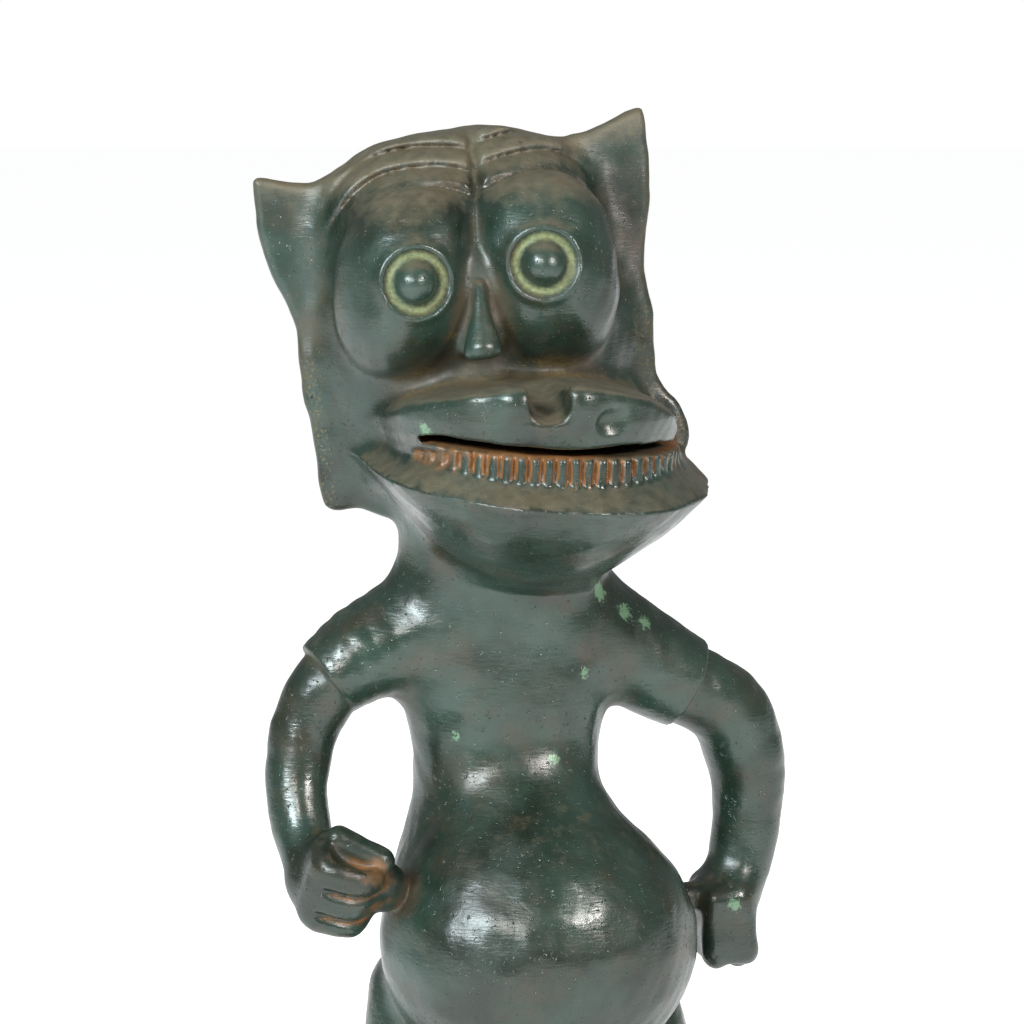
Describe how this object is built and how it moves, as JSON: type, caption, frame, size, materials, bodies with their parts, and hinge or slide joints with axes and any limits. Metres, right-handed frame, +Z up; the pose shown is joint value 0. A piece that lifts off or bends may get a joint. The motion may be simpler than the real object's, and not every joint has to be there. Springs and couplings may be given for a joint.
{
  "type": "cast bronze ancestor figure",
  "caption": "Standing grotesque figure with large ears, bulging ringed eyes, a wide toothed mouth, a round belly and bent arms, cast in one piece with a low plinth.",
  "frame": {"origin": "middle of the plinth's underside", "axes": "+Z up, -Y towards the front of the figure, +X towards the right of someone who faces it"},
  "size_m": [0.1789, 0.1389, 0.3953],
  "materials": {
    "bronze": "bronze with a dark green-black patina, tan dust on top, orange-brown dirt in the crevices, pale green spots and worn shiny high spots"
  },
  "bodies": {
    "root": {"ancestor_figure": "bronze"}
  },
  "joints": []
}
